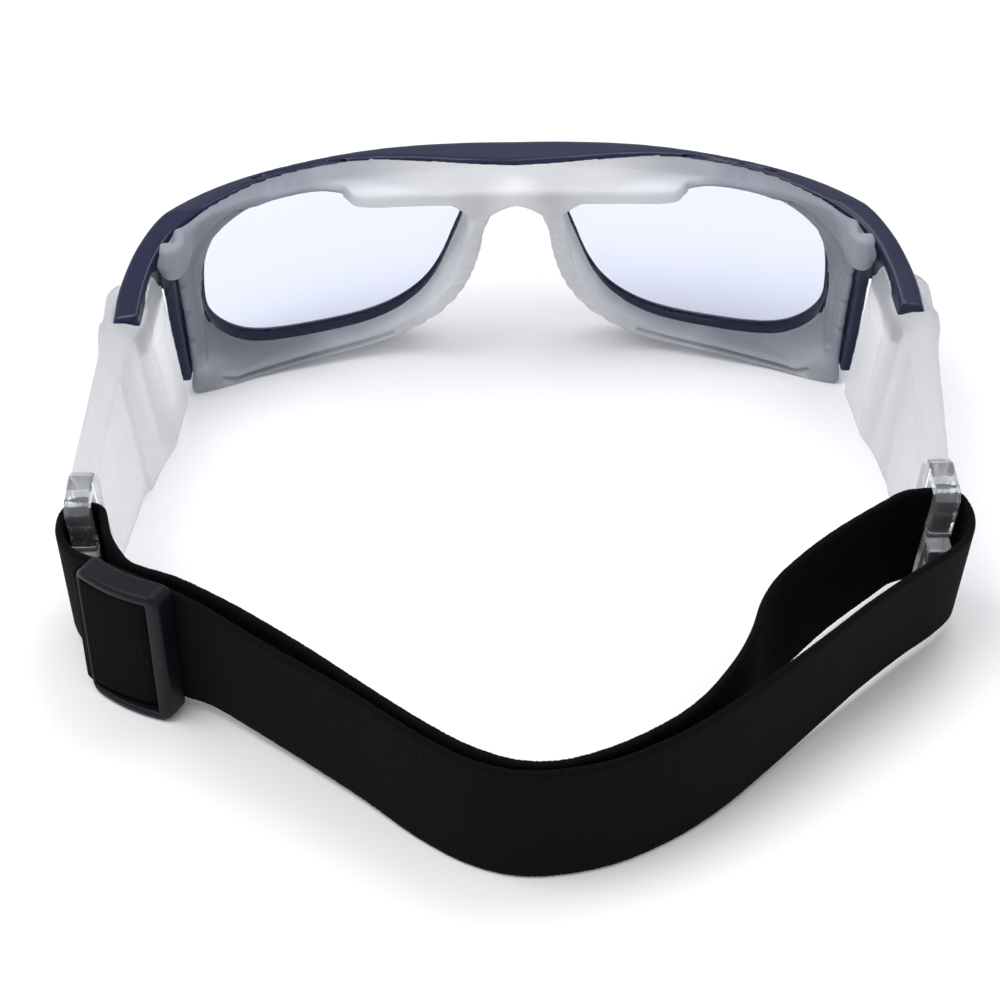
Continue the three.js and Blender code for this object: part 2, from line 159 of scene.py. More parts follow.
class Shader:
    """A material with a Principled shader and a few short-cuts for its procedural nodes."""

    # The Mix node's sockets for a colour, which share their names with those for numbers and vectors
    MIX_FACTOR = 0
    MIX_FIRST = 6
    MIX_SECOND = 7
    MIX_RESULT = 2

    def __init__(self, name, **values):
        self.material = bpy.data.materials.new(name)
        self.material.use_nodes = True
        self.tree = self.material.node_tree
        self.principled = self.tree.nodes["Principled BSDF"]
        for key, value in values.items():
            self.principled.inputs[key.replace("_", " ")].default_value = value

    def node(self, kind, **settings):
        """A new node, with each setting put on its socket of that name or else on its property."""
        made = self.tree.nodes.new(kind)
        for key, value in settings.items():
            if key in made.inputs:
                made.inputs[key].default_value = value
            else:
                setattr(made, key, value)
        return made

    def link(self, source, target):
        self.tree.links.new(source, target)

    def place(self, scale):
        """Object coordinates scaled to patterns per metre on each axis."""
        coordinates = self.node("ShaderNodeTexCoord")
        mapping = self.node("ShaderNodeMapping")
        mapping.inputs["Scale"].default_value = scale
        self.link(coordinates.outputs["Object"], mapping.inputs["Vector"])
        return mapping.outputs["Vector"]

    def noise(self, scale, detail=4, stretch=(1, 1, 1)):
        texture = self.node("ShaderNodeTexNoise", Scale=scale, Detail=detail)
        self.link(self.place(stretch), texture.inputs["Vector"])
        return texture.outputs["Fac"]

    def ramp(self, factor, low, high, start=0.3, end=0.7):
        """Turns a 0 to 1 factor into a colour between two colours."""
        ramp = self.node("ShaderNodeValToRGB")
        ramp.color_ramp.elements[0].position = start
        ramp.color_ramp.elements[1].position = end
        ramp.color_ramp.elements[0].color = (*low, 1)
        ramp.color_ramp.elements[1].color = (*high, 1)
        self.link(factor, ramp.inputs["Fac"])
        return ramp.outputs["Color"]

    def spread(self, factor, low, high):
        """Turns a 0 to 1 factor into a number between two numbers."""
        spread = self.node("ShaderNodeMapRange")
        spread.inputs["To Min"].default_value = low
        spread.inputs["To Max"].default_value = high
        self.link(factor, spread.inputs["Value"])
        return spread.outputs["Result"]

    def mix(self, factor, first, second):
        """Goes from a linked colour to a plain one as the factor goes from 0 to 1."""
        mixed = self.node("ShaderNodeMix", data_type="RGBA")
        mixed.inputs[self.MIX_SECOND].default_value = (*second, 1)
        self.link(factor, mixed.inputs[self.MIX_FACTOR])
        self.link(first, mixed.inputs[self.MIX_FIRST])
        return mixed.outputs[self.MIX_RESULT]

    def bump(self, height, distance, strength=1.0, under=None):
        """Bumps the surface, over an earlier bump if there is one."""
        bump = self.node("ShaderNodeBump", Distance=distance, Strength=strength)
        self.link(height, bump.inputs["Height"])
        if under is not None:
            self.link(under, bump.inputs["Normal"])
        self.link(bump.outputs["Normal"], self.principled.inputs["Normal"])
        return bump.outputs["Normal"]

    def use(self, key, source):
        self.link(source, self.principled.inputs[key])


def navy_material():
    shader = Shader("navy_gloss", Coat_Weight=0.1, Coat_Roughness=0.05, IOR=1.46, Specular_IOR_Level=0.3)
    cloud = shader.noise(scale=60, detail=3)
    shader.use("Base Color", shader.ramp(cloud, low=(0.007, 0.0095, 0.036), high=(0.01, 0.013, 0.046)))
    shader.use("Roughness", shader.spread(shader.noise(scale=220, detail=5), low=0.16, high=0.3))
    shader.bump(shader.noise(scale=900, detail=2), distance=0.00002, strength=0.25)
    return shader.material


def lens_material():
    shader = Shader(
        "lens_polycarbonate",
        Base_Color=(0.77, 0.8, 0.93, 1),
        Transmission_Weight=1,
        IOR=1.2,
        Roughness=0.0,
    )
    shader.use("Roughness", shader.spread(shader.noise(scale=90, detail=6), low=0.0, high=0.03))
    return shader.material


def silicone_material(name, backed_and_shaded=False):
    """Frosted silicone; the gasket's is backed by the navy frame and carries painted shade: darker where the
    frame lies behind it, in place of the light lost through the silicone.
    """
    shader = Shader(
        name,
        Transmission_Weight=0.6 if backed_and_shaded else 0.85,
        IOR=1.38,
        Specular_IOR_Level=0.35,
    )
    cloud = shader.noise(scale=70, detail=4)
    pale = shader.ramp(cloud, low=(0.92, 0.925, 0.955), high=(0.965, 0.97, 0.985))
    if backed_and_shaded:
        # Painted shade: the colour is mixed towards grey-blue by a per-point amount, where the navy frame
        # lies behind the silicone
        painted_shade_attribute = shader.node("ShaderNodeAttribute", attribute_name="painted_navy_shade")
        pale = shader.mix(painted_shade_attribute.outputs["Fac"], pale, (0.28, 0.3, 0.4))
    shader.use("Base Color", pale)
    shader.use("Roughness", shader.spread(shader.noise(scale=300, detail=4), low=0.42, high=0.6))
    grain = shader.bump(shader.noise(scale=2600, detail=3), distance=0.00004, strength=0.35)
    waves = shader.noise(scale=120, detail=3, stretch=(1, 1, 0.35))
    shader.bump(waves, distance=0.0003, strength=0.18, under=grain)
    return shader.material


def clear_material():
    shader = Shader(
        "clear_moulded_plastic",
        Base_Color=(0.92, 0.93, 0.97, 1),
        Transmission_Weight=0.93,
        IOR=1.33,
    )
    shader.use("Roughness", shader.spread(shader.noise(scale=160, detail=5), low=0.03, high=0.12))
    shader.bump(shader.noise(scale=420, detail=3), distance=0.0001, strength=0.3)
    return shader.material


def dark_plastic_material():
    shader = Shader("slider_plastic", IOR=1.5, Specular_IOR_Level=0.18)
    cloud = shader.noise(scale=90)
    shader.use("Base Color", shader.ramp(cloud, low=(0.0035, 0.0036, 0.0065), high=(0.005, 0.0052, 0.009)))
    shader.use("Roughness", shader.spread(shader.noise(scale=350, detail=4), low=0.34, high=0.5))
    shader.bump(shader.noise(scale=3200, detail=2), distance=0.00003, strength=0.3)
    return shader.material


def elastic_material():
    """Knitted elastic: fine ribs across the strap, closer rows along it, and a little fuzz."""
    shader = Shader("black_elastic", Specular_IOR_Level=0.08)
    uv = shader.node("ShaderNodeTexCoord").outputs["UV"]
    rib = shader.node("ShaderNodeTexWave", Scale=0.32, Distortion=0.6, bands_direction="X")
    rib.inputs["Detail Scale"].default_value = 2
    row = shader.node("ShaderNodeTexWave", Scale=0.2, Distortion=0.3, bands_direction="Y")
    shader.link(uv, rib.inputs["Vector"])
    shader.link(uv, row.inputs["Vector"])
    fuzz = shader.noise(scale=1500, detail=4)
    dyed = shader.ramp(fuzz, low=(0.0018, 0.0018, 0.002), high=(0.0042, 0.0042, 0.005), start=0.25, end=0.8)
    shader.use("Base Color", dyed)
    shader.use("Roughness", shader.spread(fuzz, low=0.82, high=1.0))
    first = shader.bump(rib.outputs["Fac"], distance=0.00012, strength=0.4)
    second = shader.bump(row.outputs["Fac"], distance=0.00008, strength=0.3, under=first)
    shader.bump(fuzz, distance=0.0002, strength=0.35, under=second)
    return shader.material


def floor_material():
    shader = Shader("table", Roughness=0.55, Specular_IOR_Level=0.3)
    cloud = shader.noise(scale=3)
    shader.use("Base Color", shader.ramp(cloud, low=(0.93, 0.93, 0.94), high=(0.95, 0.95, 0.955)))
    shader.bump(shader.noise(scale=500, detail=2), distance=0.00005, strength=0.1)
    return shader.material


# Curves and distance fields ----------------------------------------------------------------------------


def smooth_curve(points, closed=False, steps=8):
    """Centripetal curve through points, as many closer points."""
    points = np.array(points, float)
    last = len(points) - 1
    made = []
    for i in range(len(points) if closed else last):
        b, c = points[i], points[(i + 1) % len(points)]
        a = points[i - 1] if closed or i > 0 else 2 * b - c
        d = points[(i + 2) % len(points)] if closed or i + 2 <= last else 2 * c - b
        ab, bc, cd = (math.sqrt(max(np.linalg.norm(q - p), 1e-6)) for p, q in ((a, b), (b, c), (c, d)))
        leave = ((b - a) / ab - (c - a) / (ab + bc) + (c - b) / bc) * bc
        arrive = ((c - b) / bc - (d - b) / (bc + cd) + (d - c) / cd) * bc
        for t in np.arange(steps) / steps:
            made.append(
                (2 * t**3 - 3 * t**2 + 1) * b
                + (t**3 - 2 * t**2 + t) * leave
                + (3 * t**2 - 2 * t**3) * c
                + (t**3 - t**2) * arrive
            )
    if not closed:
        made.append(points[-1])
    return np.array(made)


def profile(pairs, at):
    """Smooth profile through (at, value) pairs."""
    curve = smooth_curve(pairs)
    return np.interp(at, curve[:, 0], curve[:, 1])


def both_sides(half):
    """A symmetric outline from its +X half, which runs from the centre to the centre."""
    half = np.array(half, float)
    return np.concatenate([half, (half * (-1, 1))[::-1]])


def outline_distance(outline, u, v):
    """Signed distance of every (u, v) from a closed outline, negative inside."""
    nearest = np.full(np.broadcast_shapes(u.shape, v.shape), 1e9)
    inside = np.zeros(nearest.shape, bool)
    for a, b in zip(outline, np.roll(outline, -1, 0)):
        edge = b - a
        if not edge.any():
            continue
        du = u - a[0]
        dv = v - a[1]
        t = np.clip((du * edge[0] + dv * edge[1]) / (edge @ edge), 0, 1)
        nearest = np.minimum(nearest, (du - t * edge[0]) ** 2 + (dv - t * edge[1]) ** 2)
        if edge[1] != 0:
            inside ^= ((a[1] > v) != (b[1] > v)) & (du < dv * edge[0] / edge[1])
    return np.where(inside, -1, 1) * np.sqrt(nearest)


def meet(a, b, radius=0.0):
    """What is inside both fields, with its edge rounded."""
    if not radius:
        return np.maximum(a, b)
    corner = np.hypot(np.maximum(a + radius, 0), np.maximum(b + radius, 0))
    return np.minimum(np.maximum(a, b), -radius) + corner


def join(a, b, radius=0.0):
    """What is inside either field, with a fillet between them."""
    if not radius:
        return np.minimum(a, b)
    corner = np.hypot(np.maximum(radius - a, 0), np.maximum(radius - b, 0))
    return np.maximum(np.minimum(a, b), radius) - corner


def cut(a, b, radius=0.0):
    """What is inside a and outside b."""
    return meet(a, -b, radius)


def between(value, low, high):
    """Field of a slab: negative where a value lies between two limits."""
    return np.abs(value - (low + high) / 2) - (high - low) / 2


def ease(value, start, end):
    """Goes smoothly from 0 at the start to 1 at the end; the end may be the smaller of the two."""
    t = np.clip((value - start) / (end - start), 0, 1)
    return t * t * (3 - 2 * t)


def grid(low, high, step):
    """Three axes of a regular grid, shaped so that they broadcast."""
    x, y, z = (np.arange(a, b + step, step, dtype=np.float32) for a, b in zip(low, high))
    return x[:, None, None], y[None, :, None], z[None, None, :]


CORNERS = [np.array((i, j, k)) for i in (0, 1) for j in (0, 1) for k in (0, 1)]


def net_points(field, cells):
    """One point in each crossed cell: the mean of where its edges cross the surface."""
    value = {tuple(c): field[tuple((cells + c).T)] for c in CORNERS}
    total = np.zeros((len(cells), 3))
    count = np.zeros(len(cells))
    for corner in CORNERS:
        for axis in range(3):
            if corner[axis]:
                continue
            other = corner.copy()
            other[axis] = 1
            near, far = value[tuple(corner)], value[tuple(other)]
            crossed = (near < 0) != (far < 0)
            share = near[crossed] / (near[crossed] - far[crossed])
            point = np.tile(corner.astype(float), (len(share), 1))
            point[:, axis] = share
            total[crossed] += point
            count += crossed
    return cells + total / count[:, None]


def net_quads(inside, number):
    """One face across every grid edge that crosses the surface, facing out."""
    faces = []
    for axis in range(3):
        here = np.moveaxis(inside, axis, 0)
        places = np.argwhere(here[:-1] != here[1:])
        places = np.insert(places[:, 1:], axis, places[:, 0], 1)
        u, v = np.eye(3, dtype=int)[(axis + 1) % 3], np.eye(3, dtype=int)[(axis + 2) % 3]
        ring = [number[tuple((places - step).T)] for step in (u + v, v, 0 * u, u)]
        face = np.stack(ring, 1)
        leaving = inside[tuple(places.T)]
        face[~leaving] = face[~leaving][:, ::-1]
        faces.append(face)
    return np.concatenate(faces)


def relaxed(points, quads, rounds):
    """Evens out a net's points a little, which takes the grid's steps away."""
    a = np.concatenate([quads.ravel(), np.roll(quads, -1, 1).ravel()])
    b = np.concatenate([np.roll(quads, -1, 1).ravel(), quads.ravel()])
    count = np.bincount(a, minlength=len(points))[:, None]
    for _ in range(rounds):
        mean = np.stack([np.bincount(a, points[b, k], len(points)) for k in range(3)], 1) / count
        points = points + 0.5 * (mean - points)
    return points


def net(field, low, step, rounds=2):
    """Points and faces of the surface where a field is zero."""
    inside = field < 0
    size = np.array(field.shape) - 1
    count = sum(
        inside[i:i + size[0], j:j + size[1], k:k + size[2]].astype(np.int8) for i, j, k in CORNERS
    )
    cells = np.argwhere((count > 0) & (count < len(CORNERS)))
    number = np.zeros(tuple(size + 1), np.int64)
    number[tuple(cells.T)] = np.arange(len(cells))
    quads = net_quads(inside, number)
    points = relaxed(net_points(field, cells) * step + np.array(low, float), quads, rounds)
    return points, quads


def symmetric_net(field, low, step, rounds=2):
    """The same for a field given on the +X half only, from x = 0."""
    whole = np.concatenate([field[:0:-1], field])
    start = (-step * (field.shape[0] - 1), low[1], low[2])
    return net(whole, start, step, rounds)


def make_mesh(name, points, faces, material, mirror=False):
    """A smooth-shaded object from points in millimetres and faces of four corners."""
    points = np.array(points, float)
    faces = np.array(faces)
    if mirror:
        points[:, 0] *= -1
        faces = faces[:, ::-1]
    mesh = bpy.data.meshes.new(name)
    mesh.vertices.add(len(points))
    mesh.vertices.foreach_set("co", metres(points).astype(np.float32).ravel())
    mesh.loops.add(faces.size)
    mesh.loops.foreach_set("vertex_index", np.ascontiguousarray(faces).astype(np.int32).ravel())
    mesh.polygons.add(len(faces))
    mesh.polygons.foreach_set("loop_start", np.arange(0, faces.size, 4, dtype=np.int32))
    mesh.update(calc_edges=True)
    mesh.polygons.foreach_set("use_smooth", np.ones(len(faces), bool))
    mesh.materials.append(material)
    piece = bpy.data.objects.new(name, mesh)
    bpy.context.scene.collection.objects.link(piece)
    return piece


# Front frame -------------------------------------------------------------------------------------------

BROW_ROUND = 0.8
WALL_ROUND = 0.6
WALL_FOOT_Z = 4
WALL_TOP_Z = 33
BROW_FALL = 5
BROW_FALL_AT = 68
ARM_FALL = 0.22
ARM_FALL_START_Y = 8
LIP_CHAMFER = 0.45
LENS_GAP = 0.3
BEAD_OUTSET = 1.9
BEAD_RADIUS = 0.4
LENS_EDGE = smooth_curve(
    [
        (10, 35.5), (24, 39), (40, 40.4), (52, 38.4), (60.4, 32), (63.2, 22),
        (62.4, 11.5), (55.5, 5), (40, 4), (26.5, 6.8), (18, 13), (12.4, 24),
    ],
    closed=True,
    steps=10,
)
RIM_OUTLINE = smooth_curve(both_sides([
    (0.5, 42.5), (30, 41.8), (45, 40.6), (57, 38), (64, 34.5), (66.8, 28), (66.6, 12), (64.5, 4.5),
    (57, 1.6), (40, 1.2), (28, 3), (18.5, 8), (13, 15), (9.2, 24), (6.6, 32), (3.6, 36.2), (0.5, 37.4),
]), closed=True, steps=5)
BROW_OUTER = [
    (0, 24.5), (14, 24.6), (28, 23.8), (43, 21), (56, 16.8), (64, 12.4),
    (70, 7.2), (73.6, 1), (75.6, -5), (76.8, -11), (77.2, -17.6),
]
BROW_INNER = [
    (72.3, -17.6), (71.3, -9), (69.6, -2.6), (67, 2.6), (61, 8.2), (51, 15), (41, 18.6), (31, 20.2),
    (20, 19.4), (10, 17.8), (0, 16.8),
]
BROW_OUTLINE = both_sides(np.concatenate([
    smooth_curve(BROW_OUTER, steps=6),
    smooth_curve(BROW_INNER, steps=6),
]))
BROW_HEIGHT = [(0, 6), (30, 5), (66, 9), (90, 9)]
WALL_OUTLINE = np.array([
    (62.5, 13.6), (66.5, 9.6), (69.4, 4.5), (69.8, -1.2), (67.4, -1.2), (67.2, 4), (65.2, 7), (62.5, 8.4),
])


def lens_y(x):
    """The middle of the lens at an x: it wraps round the face."""
    return LENS_FRONT_Y - x**2 / (2 * WRAP_RADIUS)


def brow_top(x, y):
    """Height of the brow's top, which falls to the sides and along the arms."""
    return BROW_TOP_Z - BROW_FALL * (x / BROW_FALL_AT) ** 2 - ARM_FALL * np.maximum(0, ARM_FALL_START_Y - y)


def brow_field(x, y, z):
    """Brow bar and arms, with rounded edges."""
    plan = outline_distance(BROW_OUTLINE, x, y)
    top = brow_top(x, y)
    height = profile(BROW_HEIGHT, x)
    return meet(plan, between(z, top - height, top), BROW_ROUND)


def wall_field(x, y, z):
    """Side wall beside the gasket, ending in the upright post that leans outwards."""
    shifted = x + (WALL_TOP_Z - z) * POST_LEAN * ease(y, 7, 4)
    standing = between(z, WALL_FOOT_Z, WALL_TOP_Z)
    return meet(outline_distance(WALL_OUTLINE, shifted, y), standing, WALL_ROUND)


def rim_field(x, y, z, radius):
    """Both rims before the lenses' openings are cut."""
    ahead = y - lens_y(x)
    return meet(outline_distance(RIM_OUTLINE, x, z), between(ahead, -RIM_REAR, RIM_FRONT), radius)


def frame_field(x, y, z):
    """The front frame: rims, brow, arms and side walls in one."""
    ahead = y - lens_y(x)
    edge = outline_distance(LENS_EDGE, x, z)
    field = join(rim_field(x, y, z, 0.9), brow_field(x, y, z), 0.5)
    field = join(field, wall_field(x, y, z), 0.8)
    # The opening, chamfered in front of the lens, and the seat that the lens is pushed into from behind
    field = cut(field, edge + LENS_LIP - LIP_CHAMFER * np.maximum(0, ahead - LENS_THICKNESS / 2), 0.3)
    field = cut(field, meet(edge - LENS_GAP, ahead - LENS_THICKNESS / 2 - LENS_GAP), 0.15)
    groove = np.hypot(edge - BEAD_OUTSET, ahead - RIM_FRONT) - BEAD_RADIUS
    return cut(field, groove, 0.2)


def build_front_frame(material):
    low, high, step = (0, -20, 0), (79, 27, 45.5), 0.34
    x, y, z = grid(low, high, step)
    points, quads = symmetric_net(frame_field(x, y, z), low, step, 3)
    piece = make_mesh("navy_front_frame", points, quads, material)
    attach(piece, "frame")
    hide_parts("front_frame")


LENS_MIDDLE = (37.0, 22.0)
LENS_FACE_EDGE = 0.985


def lens_layers():
    """A lens's rings as (scale, side) pairs, from the front face's middle round the edge to the rear's."""
    rings = [0.02, *np.linspace(0.1, 0.96, 18), LENS_FACE_EDGE]
    shoulder = 1 - 0.35 * (1 - LENS_FACE_EDGE)
    front = [(ring, 1) for ring in rings]
    bevel = [(shoulder, 0.86), (1, 0.62), (1, -0.62), (shoulder, -0.86)]
    rear = [(ring, -1) for ring in reversed(rings)]
    return front + bevel + rear


def lens_cap(ring, centre, at_front):
    """Faces between a lens face's innermost ring and its centre point."""
    count = len(ring)
    quads = np.array([[centre, ring[(k + 2) % count], ring[k + 1], ring[k]] for k in range(0, count, 2)])
    return quads if at_front else quads[:, ::-1]


def build_lens(name, node, material, mirror):
    """A polished lens: rings from its middle to its edge on both faces, with a small bevel."""
    middle = np.array(LENS_MIDDLE)
    layers = lens_layers()
    points = []
    for scale, side in layers:
        ring = middle + (LENS_EDGE - middle) * scale
        y = lens_y(ring[:, 0]) + side * LENS_THICKNESS / 2
        points.append(np.stack([ring[:, 0], y, ring[:, 1]], 1))
    count = len(LENS_EDGE)
    faces = []
    for row in range(len(layers) - 1):
        here = row * count + np.arange(count)
        there = here + count
        faces.append(np.stack([here, np.roll(here, -1), np.roll(there, -1), there], 1))
    centres = [points[0].mean(0), points[-1].mean(0)]
    first = np.arange(count)
    last = first + (len(layers) - 1) * count
    faces.append(lens_cap(first, len(layers) * count, True))
    faces.append(lens_cap(last, len(layers) * count + 1, False))
    piece = make_mesh(name, np.concatenate([*points, centres]), np.concatenate(faces), material, mirror)
    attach(piece, "frame")
    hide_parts(node)


# Face gasket -------------------------------------------------------------------------------------------

GASKET_OUTLINE = smooth_curve(both_sides([
    (0.5, 43.3), (20, 43.1), (34, 42.6), (46, 41.6), (57, 40.2), (63, 38.6), (66.6, 34), (66.2, 18),
    (65.6, 6), (65.6, 0), (54, 0), (42, 1.4), (31, 2.8), (22.5, 6), (17.2, 11.4), (13.6, 15.2),
    (10.6, 19.6), (8.4, 24.6), (7.1, 29.6), (6.3, 34), (4.2, 37.8), (0.5, 39.6),
]), closed=True, steps=4)
BROW_REAR = [
    (0, 6.6), (20, 6.7), (28, 6.8), (31.5, 7.6), (34, 11), (38, 12), (46, 10.6), (55, 8.2), (62, 4.6),
    (70, -1),
]
CHEEK_REAR = [(0, 8), (16, 8.4), (22, 11), (32, 10.6), (42, 8), (52, 5), (60, 1.6), (70, -2)]
TAB_OUTLINE = np.array([
    (64, 4), (66.6, 3), (66.4, -1.6), (69, -1.6), (69, -4.2), (67.6, -5.4), (65.6, -5), (64, -2),
])
SHELF_OUTLINE = np.array([(62, 6), (66, 5), (69.4, 0), (69.6, -4), (67.6, -5.4), (64, -2)])
SIDE_STEPS_Z = (26, 19.6, 13.3)
SIDE_STEP_X = 62
OPENING_LIP = 0.9
OUTER_BAND = 2.2
LEDGE_WIDTH = 1.3
LEDGE_DEPTH = 1.4
GROOVE_OUT = 1.5
GROOVE_HALF_WIDTH = 0.45
GROOVE_DEPTH = 1.6
GROOVE_TOP_Z = 9
RIDGE_Z = 37.2
RIDGE_WIDTH = 0.7
RIDGE_HEIGHT = 0.3
RIB_HEIGHT = 0.16
RIB_PITCH = 1.5
FIT_GAP = 0.15
# How far from the navy frame the gasket's painted shade reaches
PAINTED_SHADE_REACH = 7


def gasket_rear(x, z):
    """Where the face side of the gasket lies: the cheeks low down, the brow higher up."""
    height = ease(z, 4, 38)
    return (1 - height) * profile(CHEEK_REAR, x) + height * profile(BROW_REAR, x)


def gasket_flare(x, z, depth):
    """How much wider the opening is at a depth behind the lens: a wide cone outside, steep at the nose."""
    outer = ease(x, 30, 56)
    upper = ease(z, 20, 33)
    slope = 0.1 + 0.14 * ease(x, 18, 30) + 0.22 * np.maximum(outer * ease(x, 22, 34), upper * ease(x, 4, 14))
    return slope * depth


def gasket_body(z, ahead, edge, outline, inside):
    """The moulding before its opening is cut, with a pocket for the lens."""
    field = meet(outline, -inside, 1.1)
    # Forward limit: just behind the lens, but over the rim's top up to the brow bar's inner wall
    forward = ahead + 1.25 - 3.9 * ease(z, 38.5, 41)
    field = meet(field, np.maximum(forward, -z), 0.15)
    pocket = np.maximum(edge - LENS_GAP, -ahead - LENS_THICKNESS / 2 - FIT_GAP)
    return cut(field, pocket, 0.1)


def gasket_opening(x, z, ahead, edge, outline):
    """Field of the opening for the eye, which leaves the outer band its thickness at the rear."""
    depth = np.maximum(0, -ahead - LENS_THICKNESS / 2)
    flare = gasket_flare(x, z, depth)
    flare = np.minimum(flare, np.maximum(0, edge - outline - OUTER_BAND))
    return edge + OPENING_LIP - flare


def gasket_details(field, x, z, edge, opening, inside):
    """Adds the ledge, the groove, the ridge, the nose ribs and the side steps to the gasket."""
    # Step in the wall of the opening, parallel to the lens's edge
    ledge = np.maximum(opening - LEDGE_WIDTH, inside - LEDGE_DEPTH)
    field = cut(field, np.maximum(ledge, np.maximum(34 - x, 9 - z)), 0.4)
    # Long groove along the lower edge
    reach = np.maximum(between(x, 25, 60), z - GROOVE_TOP_Z)
    groove = np.maximum(np.abs(opening - GROOVE_OUT) - GROOVE_HALF_WIDTH, reach)
    field = cut(field, meet(groove, inside - GROOVE_DEPTH, 0.3), 0.3)
    # Soft ridge under the brow pad's face
    pad_face = ease(x, 30, 26) * np.exp(-(((z - RIDGE_Z) / RIDGE_WIDTH) ** 2))
    field = field + RIDGE_HEIGHT * pad_face * ease(inside, 3, 0.5)
    # Ribs on the nose pads
    pad = ease(x, 27, 22) * ease(z, 36, 31) * ease(edge, 0.2, 1.2)
    field = field + RIB_HEIGHT * pad * np.sin(2 * math.pi * (0.8 * z + 0.45 * x) / RIB_PITCH)
    # Steps on the outer side
    for level in SIDE_STEPS_Z:
        notch = meet(between(z, level - 0.5, level + 0.5), np.maximum(SIDE_STEP_X - x, inside - 1), 0.4)
        field = cut(field, notch, 0.4)
    return field


def gasket_field(x, y, z):
    """The face gasket, cut back wherever the navy frame is."""
    ahead = y - lens_y(x)
    edge = outline_distance(LENS_EDGE, x, z)
    outline = outline_distance(GASKET_OUTLINE, x, z)
    inside = y - gasket_rear(x, z)
    field = gasket_body(z, ahead, edge, outline, inside)
    opening = gasket_opening(x, z, ahead, edge, outline)
    field = cut(field, opening, 0.8)
    field = gasket_details(field, x, z, edge, opening, inside)
    tab = meet(outline_distance(TAB_OUTLINE, x, y), between(z, 31.5, 39), 1.3)
    field = join(field, tab, 1.5)
    shelf = meet(outline_distance(SHELF_OUTLINE, x, y), between(z, 33.4, brow_top(x, y) - 0.7), 1.1)
    field = join(field, shelf, 1.2)
    return cut(field, navy_field(x, y, z) - FIT_GAP)


def navy_field(x, y, z):
    """The front frame as the gasket sees it: without the lip in front of the lens."""
    rim = cut(rim_field(x, y, z, 0.8), outline_distance(LENS_EDGE, x, z) - LENS_GAP)
    return np.minimum(np.minimum(brow_field(x, y, z), rim), wall_field(x, y, z))


def painted_navy_shade(points):
    """Painted shade at each point: how much darker the silicone is coloured near the navy frame behind it,
    fading out towards the middle and stronger on the outer side.
    """
    x, y, z = np.abs(points[:, 0]), points[:, 1], points[:, 2]
    near = np.clip(1 - navy_field(x, y, z) / PAINTED_SHADE_REACH, 0, 1)
    return np.maximum(0.6 * near, 0.75 * ease(x, 30, 44) * near**0.3) * ease(x, 12, 36)


def build_gasket(material):
    low, high, step = (0, -8, -1), (71, 22, 45), 0.32
    x, y, z = grid(low, high, step)
    points, quads = symmetric_net(gasket_field(x, y, z), low, step, 2)
    piece = make_mesh("silicone_face_gasket", points, quads, material)
    # Painted shade amount for each point, read by the gasket material
    painted_shade_attribute = piece.data.attributes.new("painted_navy_shade", "FLOAT", "POINT")
    painted_shade_attribute.data.foreach_set("value", painted_navy_shade(points).astype(np.float32))
    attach(piece, "frame")
    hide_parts("face_gasket")


# Silicone temples --------------------------------------------------------------------------------------

SLEEVE_OUTLINE = np.array([
    (69.5, -3.6), (70.6, -2.6), (76.4, -2.6), (78.4, -4.2), (79.6, -8.6), (79.6, -18), (79.4, -21),
    (74.6, -31), (73.9, -26), (72.7, -21), (71.4, -17.8), (70.4, -9),
])


TEMPLE_MIDDLE_X = 77
TEMPLE_TOP = [(-64, 27.6), (-56, 28.4), (-20.6, 30.6), (-8, 31.6), (0, 29), (4, 28)]
TEMPLE_FOOT = [(-64, 2.4), (-56, 2), (-20.6, 0.6), (-8, 0), (4, 0)]
LOBE_Y = -10.5
LOBE_Z = 29
LOBE_SQUASH = 0.85
LOBE_RADIUS = 6
LOBE_OUTER_X = 71.4
CREASES_Y = (-15, -22.5)
CREASE_SLOPE = 0.06
CREASE_DEPTH = 0.14
CREASE_WIDTH = 0.6
REAR_MIDDLE_Z = 15
BLEND_Z = 16


def rear_shear(z):
    """How much further back a temple's rear end and clip stand at a height than at mid height."""
    return REAR_SLOPE * (z - REAR_MIDDLE_Z)


def temple_middle(y, drift):
    """The slab's middle line in plan, which drifts inwards to the rear."""
    return TEMPLE_MIDDLE_X - drift * np.clip((HINGE_Y - y) / (HINGE_Y - SLAB_REAR_Y), 0, 1.6)


def temple_lean(y):
    """How far inwards the temple's foot stands of its top."""
    return np.interp(y, [SLAB_REAR_Y, HINGE_Y, SLEEVE_FRONT_Y], [CLIP_LEAN, SLAB_LEAN, SLEEVE_LEAN])


def temple_field(x, y, z, drift):
    """Sleeve and slab in one, with a lobe over the arm and two creases where it flexes."""
    upright = x + temple_lean(y) * (1 - z / SLAB_TOP_Z)
    standing = between(z, profile(TEMPLE_FOOT, y), profile(TEMPLE_TOP, y))
    sleeve_plan = outline_distance(SLEEVE_OUTLINE, upright, y)
    sleeve = meet(sleeve_plan, standing, 1.1)
    across = np.abs(upright - temple_middle(y, drift)) - SLAB_THICKNESS / 2
    slab = meet(meet(across, between(y, SLAB_REAR_Y - rear_shear(z), HINGE_Y + 3)), standing, 1.3)
    field = join(sleeve, slab, 2.5)
    # Round lobe that comes up the inner side of the arm
    disc = np.hypot(y - LOBE_Y, (z - LOBE_Z) * LOBE_SQUASH) - LOBE_RADIUS
    lobe = meet(disc, np.maximum(x - LOBE_OUTER_X, z - brow_top(x, y) + 0.6), 0.5)
    field = join(field, meet(lobe, sleeve_plan, 0.6), 0.8)
    inner = ease(upright, 76, 74)
    for crease in CREASES_Y:
        bend = y - crease - CREASE_SLOPE * (z - BLEND_Z)
        field = field + CREASE_DEPTH * inner * np.exp(-((bend / CREASE_WIDTH) ** 2))
    return cut(field, brow_field(x, y, z) - FIT_GAP, 0.3)


